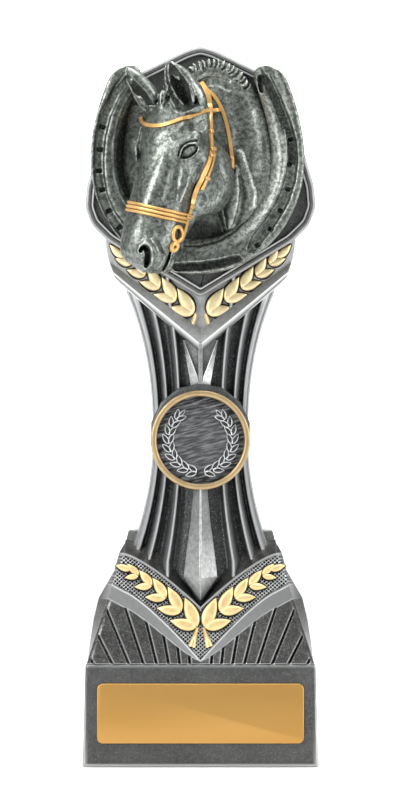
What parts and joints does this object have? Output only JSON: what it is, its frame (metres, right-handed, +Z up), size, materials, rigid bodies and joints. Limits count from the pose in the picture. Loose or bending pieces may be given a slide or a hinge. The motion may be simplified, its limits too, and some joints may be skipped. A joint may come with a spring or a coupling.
{
  "type": "horse trophy",
  "caption": "Cast trophy: a horse head in a horseshoe on a shield, above a fluted column with a laurel ring, on a flared foot and a plinth with an engraving plate.",
  "frame": {"origin": "middle of the plinth's underside, which stands on Z = 0", "axes": "+Z up, the front faces -Y, +X to the viewer's right"},
  "size_m": [0.0718, 0.0658, 0.22],
  "materials": {
    "tower_silver": "cast resin with an antique silver finish, gold leaves and ring",
    "medallion_silver": "cast resin with a darker, greenish antique silver finish, gold bridle",
    "plate_gold": "satin gold"
  },
  "bodies": {
    "root": {"tower": "tower_silver", "horse_medallion": "medallion_silver", "engraving_plate": "plate_gold"}
  },
  "joints": []
}
